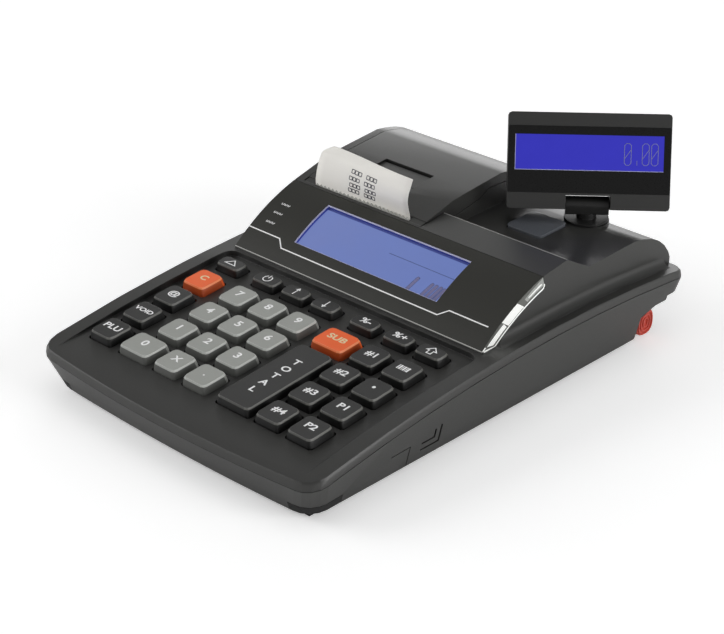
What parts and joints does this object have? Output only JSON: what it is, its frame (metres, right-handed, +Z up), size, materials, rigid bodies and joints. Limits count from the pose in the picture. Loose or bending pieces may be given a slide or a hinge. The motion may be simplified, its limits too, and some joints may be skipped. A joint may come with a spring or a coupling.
{
  "type": "portable ticket register",
  "caption": "Portable ticket register with a sloping keyboard, curved display panel, covered receipt printer and a swivelling customer display.",
  "frame": {"origin": "middle of the bounding box in plan, on the surface that the feet stand on", "axes": "+X to the operator's right, +Y away from the operator towards the printer, +Z up"},
  "size_m": [0.1626, 0.2502, 0.0947],
  "materials": {
    "housing": "fine textured charcoal moulding",
    "dark_key": "satin black",
    "grey_key": "satin grey",
    "orange_key": "satin orange",
    "panel": "smoked clear plastic with a printed black band",
    "main_screen": "blue liquid crystal display",
    "customer_screen": "blue liquid crystal display",
    "window": "polished black",
    "paper": "matt white thermal paper",
    "rubber": "matt black",
    "steel": "bright",
    "mechanism": "bright",
    "nylon": "natural white",
    "bin": "black",
    "seal": "red",
    "badge": "frosted grey",
    "board": "green solder mask",
    "battery": "shrink-wrapped cells"
  },
  "bodies": {
    "body": {"lower_housing": "housing", "upper_housing": "housing", "display_panel": "panel", "main_lcd": "main_screen", "printer_mechanism": "mechanism", "tear_bar": "steel", "paper_bin": "bin", "receipt_strip": "paper", "badge_plate": "badge", "rear_seal_plug": "seal", "battery_pack": "battery", "main_board": "board", "key_mat": "rubber", "foot_front_left": "rubber", "foot_front_right": "rubber", "foot_rear": "rubber"},
    "cover": {"paper_cover": "housing"},
    "platen": {"platen_roller": "rubber", "platen_gear": "nylon"},
    "feed_gear": {"drive_gear": "nylon"},
    "roll": {"paper_roll": "paper"},
    "post": {"display_post": "housing"},
    "customer_display": {"customer_display_front": "housing", "customer_display_back": "housing", "customer_display_window": "window", "customer_lcd": "customer_screen"},
    "battery_door": {"battery_door": "housing"},
    "key_lookup": {"key_lookup": "dark_key"},
    "key_void": {"key_void": "dark_key"},
    "key_price": {"key_price": "dark_key"},
    "key_clear": {"key_clear": "orange_key"},
    "key_0": {"key_0": "grey_key"},
    "key_1": {"key_1": "grey_key"},
    "key_4": {"key_4": "grey_key"},
    "key_7": {"key_7": "grey_key"},
    "key_multiply": {"key_multiply": "grey_key"},
    "key_2": {"key_2": "grey_key"},
    "key_5": {"key_5": "grey_key"},
    "key_8": {"key_8": "grey_key"},
    "key_point": {"key_point": "grey_key"},
    "key_3": {"key_3": "grey_key"},
    "key_6": {"key_6": "grey_key"},
    "key_9": {"key_9": "grey_key"},
    "key_total": {"key_total": "dark_key"},
    "key_subtotal": {"key_subtotal": "orange_key"},
    "key_department_4": {"key_department_4": "dark_key"},
    "key_department_3": {"key_department_3": "dark_key"},
    "key_department_2": {"key_department_2": "dark_key"},
    "key_department_1": {"key_department_1": "dark_key"},
    "key_pay_2": {"key_pay_2": "dark_key"},
    "key_pay_1": {"key_pay_1": "dark_key"},
    "key_dot": {"key_dot": "dark_key"},
    "key_barcode": {"key_barcode": "dark_key"},
    "key_feed": {"key_feed": "dark_key"},
    "key_power": {"key_power": "dark_key"},
    "key_up": {"key_up": "dark_key"},
    "key_down": {"key_down": "dark_key"},
    "key_percent_minus": {"key_percent_minus": "dark_key"},
    "key_percent_plus": {"key_percent_plus": "dark_key"},
    "key_shift": {"key_shift": "dark_key"}
  },
  "joints": [
    {"name": "cover_hinge", "type": "hinge", "parent": "body", "child": "cover", "pos_m": [-0.0344, 0.10264, 0.0435], "axis": [-1, 0, 0], "range_deg": [0, 80]},
    {"name": "platen_spin", "type": "hinge", "parent": "cover", "child": "platen", "pos_m": [-0.0324, 0.02824, 0.046], "axis": [1, 0, 0], "continuous": true},
    {"name": "drive_gear_spin", "type": "hinge", "parent": "body", "child": "feed_gear", "pos_m": [-0.0638, 0.02824, 0.0313], "axis": [1, 0, 0], "continuous": true},
    {"name": "paper_roll_spin", "type": "hinge", "parent": "body", "child": "roll", "pos_m": [-0.0324, 0.05904, 0.0268], "axis": [1, 0, 0], "continuous": true},
    {"name": "display_swivel", "type": "hinge", "parent": "body", "child": "post", "pos_m": [0.0421, 0.08674, 0.049], "axis": [0, 0, 1], "range_deg": [-150, 130]},
    {"name": "display_tilt", "type": "hinge", "parent": "post", "child": "customer_display", "pos_m": [0.0421, 0.08674, 0.0554], "axis": [0.757, 0.6534, 0], "range_deg": [-15, 20]},
    {"name": "battery_door_hinge", "type": "hinge", "parent": "body", "child": "battery_door", "pos_m": [0.027, -0.07296, 0.0025], "axis": [1, 0, 0], "range_deg": [0, 85]},
    {"name": "key_lookup_press", "type": "slide", "parent": "body", "child": "key_lookup", "axis": [0, 0.0941, -0.9956], "range_m": [0, 0.0025], "stiffness_N_per_m": 200, "springref_m": -0.001},
    {"name": "key_void_press", "type": "slide", "parent": "body", "child": "key_void", "axis": [0, 0.0941, -0.9956], "range_m": [0, 0.0025], "stiffness_N_per_m": 200, "springref_m": -0.001},
    {"name": "key_price_press", "type": "slide", "parent": "body", "child": "key_price", "axis": [0, 0.0941, -0.9956], "range_m": [0, 0.0025], "stiffness_N_per_m": 200, "springref_m": -0.001},
    {"name": "key_clear_press", "type": "slide", "parent": "body", "child": "key_clear", "axis": [0, 0.0941, -0.9956], "range_m": [0, 0.0025], "stiffness_N_per_m": 200, "springref_m": -0.001},
    {"name": "key_0_press", "type": "slide", "parent": "body", "child": "key_0", "axis": [0, 0.0941, -0.9956], "range_m": [0, 0.0025], "stiffness_N_per_m": 200, "springref_m": -0.001},
    {"name": "key_1_press", "type": "slide", "parent": "body", "child": "key_1", "axis": [0, 0.0941, -0.9956], "range_m": [0, 0.0025], "stiffness_N_per_m": 200, "springref_m": -0.001},
    {"name": "key_4_press", "type": "slide", "parent": "body", "child": "key_4", "axis": [0, 0.0941, -0.9956], "range_m": [0, 0.0025], "stiffness_N_per_m": 200, "springref_m": -0.001},
    {"name": "key_7_press", "type": "slide", "parent": "body", "child": "key_7", "axis": [0, 0.0941, -0.9956], "range_m": [0, 0.0025], "stiffness_N_per_m": 200, "springref_m": -0.001},
    {"name": "key_multiply_press", "type": "slide", "parent": "body", "child": "key_multiply", "axis": [0, 0.0941, -0.9956], "range_m": [0, 0.0025], "stiffness_N_per_m": 200, "springref_m": -0.001},
    {"name": "key_2_press", "type": "slide", "parent": "body", "child": "key_2", "axis": [0, 0.0941, -0.9956], "range_m": [0, 0.0025], "stiffness_N_per_m": 200, "springref_m": -0.001},
    {"name": "key_5_press", "type": "slide", "parent": "body", "child": "key_5", "axis": [0, 0.0941, -0.9956], "range_m": [0, 0.0025], "stiffness_N_per_m": 200, "springref_m": -0.001},
    {"name": "key_8_press", "type": "slide", "parent": "body", "child": "key_8", "axis": [0, 0.0941, -0.9956], "range_m": [0, 0.0025], "stiffness_N_per_m": 200, "springref_m": -0.001},
    {"name": "key_point_press", "type": "slide", "parent": "body", "child": "key_point", "axis": [0, 0.0941, -0.9956], "range_m": [0, 0.0025], "stiffness_N_per_m": 200, "springref_m": -0.001},
    {"name": "key_3_press", "type": "slide", "parent": "body", "child": "key_3", "axis": [0, 0.0941, -0.9956], "range_m": [0, 0.0025], "stiffness_N_per_m": 200, "springref_m": -0.001},
    {"name": "key_6_press", "type": "slide", "parent": "body", "child": "key_6", "axis": [0, 0.0941, -0.9956], "range_m": [0, 0.0025], "stiffness_N_per_m": 200, "springref_m": -0.001},
    {"name": "key_9_press", "type": "slide", "parent": "body", "child": "key_9", "axis": [0, 0.0941, -0.9956], "range_m": [0, 0.0025], "stiffness_N_per_m": 200, "springref_m": -0.001},
    {"name": "key_total_press", "type": "slide", "parent": "body", "child": "key_total", "axis": [0, 0.0941, -0.9956], "range_m": [0, 0.0025], "stiffness_N_per_m": 200, "springref_m": -0.001},
    {"name": "key_subtotal_press", "type": "slide", "parent": "body", "child": "key_subtotal", "axis": [0, 0.0941, -0.9956], "range_m": [0, 0.0025], "stiffness_N_per_m": 200, "springref_m": -0.001},
    {"name": "key_department_4_press", "type": "slide", "parent": "body", "child": "key_department_4", "axis": [0, 0.0941, -0.9956], "range_m": [0, 0.0025], "stiffness_N_per_m": 200, "springref_m": -0.001},
    {"name": "key_department_3_press", "type": "slide", "parent": "body", "child": "key_department_3", "axis": [0, 0.0941, -0.9956], "range_m": [0, 0.0025], "stiffness_N_per_m": 200, "springref_m": -0.001},
    {"name": "key_department_2_press", "type": "slide", "parent": "body", "child": "key_department_2", "axis": [0, 0.0941, -0.9956], "range_m": [0, 0.0025], "stiffness_N_per_m": 200, "springref_m": -0.001},
    {"name": "key_department_1_press", "type": "slide", "parent": "body", "child": "key_department_1", "axis": [0, 0.0941, -0.9956], "range_m": [0, 0.0025], "stiffness_N_per_m": 200, "springref_m": -0.001},
    {"name": "key_pay_2_press", "type": "slide", "parent": "body", "child": "key_pay_2", "axis": [0, 0.0941, -0.9956], "range_m": [0, 0.0025], "stiffness_N_per_m": 200, "springref_m": -0.001},
    {"name": "key_pay_1_press", "type": "slide", "parent": "body", "child": "key_pay_1", "axis": [0, 0.0941, -0.9956], "range_m": [0, 0.0025], "stiffness_N_per_m": 200, "springref_m": -0.001},
    {"name": "key_dot_press", "type": "slide", "parent": "body", "child": "key_dot", "axis": [0, 0.0941, -0.9956], "range_m": [0, 0.0025], "stiffness_N_per_m": 200, "springref_m": -0.001},
    {"name": "key_barcode_press", "type": "slide", "parent": "body", "child": "key_barcode", "axis": [0, 0.0941, -0.9956], "range_m": [0, 0.0025], "stiffness_N_per_m": 200, "springref_m": -0.001},
    {"name": "key_feed_press", "type": "slide", "parent": "body", "child": "key_feed", "axis": [0, 0.0941, -0.9956], "range_m": [0, 0.0025], "stiffness_N_per_m": 200, "springref_m": -0.001},
    {"name": "key_power_press", "type": "slide", "parent": "body", "child": "key_power", "axis": [0, 0.0941, -0.9956], "range_m": [0, 0.0025], "stiffness_N_per_m": 200, "springref_m": -0.001},
    {"name": "key_up_press", "type": "slide", "parent": "body", "child": "key_up", "axis": [0, 0.0941, -0.9956], "range_m": [0, 0.0025], "stiffness_N_per_m": 200, "springref_m": -0.001},
    {"name": "key_down_press", "type": "slide", "parent": "body", "child": "key_down", "axis": [0, 0.0941, -0.9956], "range_m": [0, 0.0025], "stiffness_N_per_m": 200, "springref_m": -0.001},
    {"name": "key_percent_minus_press", "type": "slide", "parent": "body", "child": "key_percent_minus", "axis": [0, 0.0941, -0.9956], "range_m": [0, 0.0025], "stiffness_N_per_m": 200, "springref_m": -0.001},
    {"name": "key_percent_plus_press", "type": "slide", "parent": "body", "child": "key_percent_plus", "axis": [0, 0.0941, -0.9956], "range_m": [0, 0.0025], "stiffness_N_per_m": 200, "springref_m": -0.001},
    {"name": "key_shift_press", "type": "slide", "parent": "body", "child": "key_shift", "axis": [0, 0.0941, -0.9956], "range_m": [0, 0.0025], "stiffness_N_per_m": 200, "springref_m": -0.001}
  ],
  "couplings": [
    {"joint": "drive_gear_spin", "follows": "platen_spin", "ratio": -0.5},
    {"joint": "paper_roll_spin", "follows": "platen_spin", "ratio": 0.27941}
  ]
}
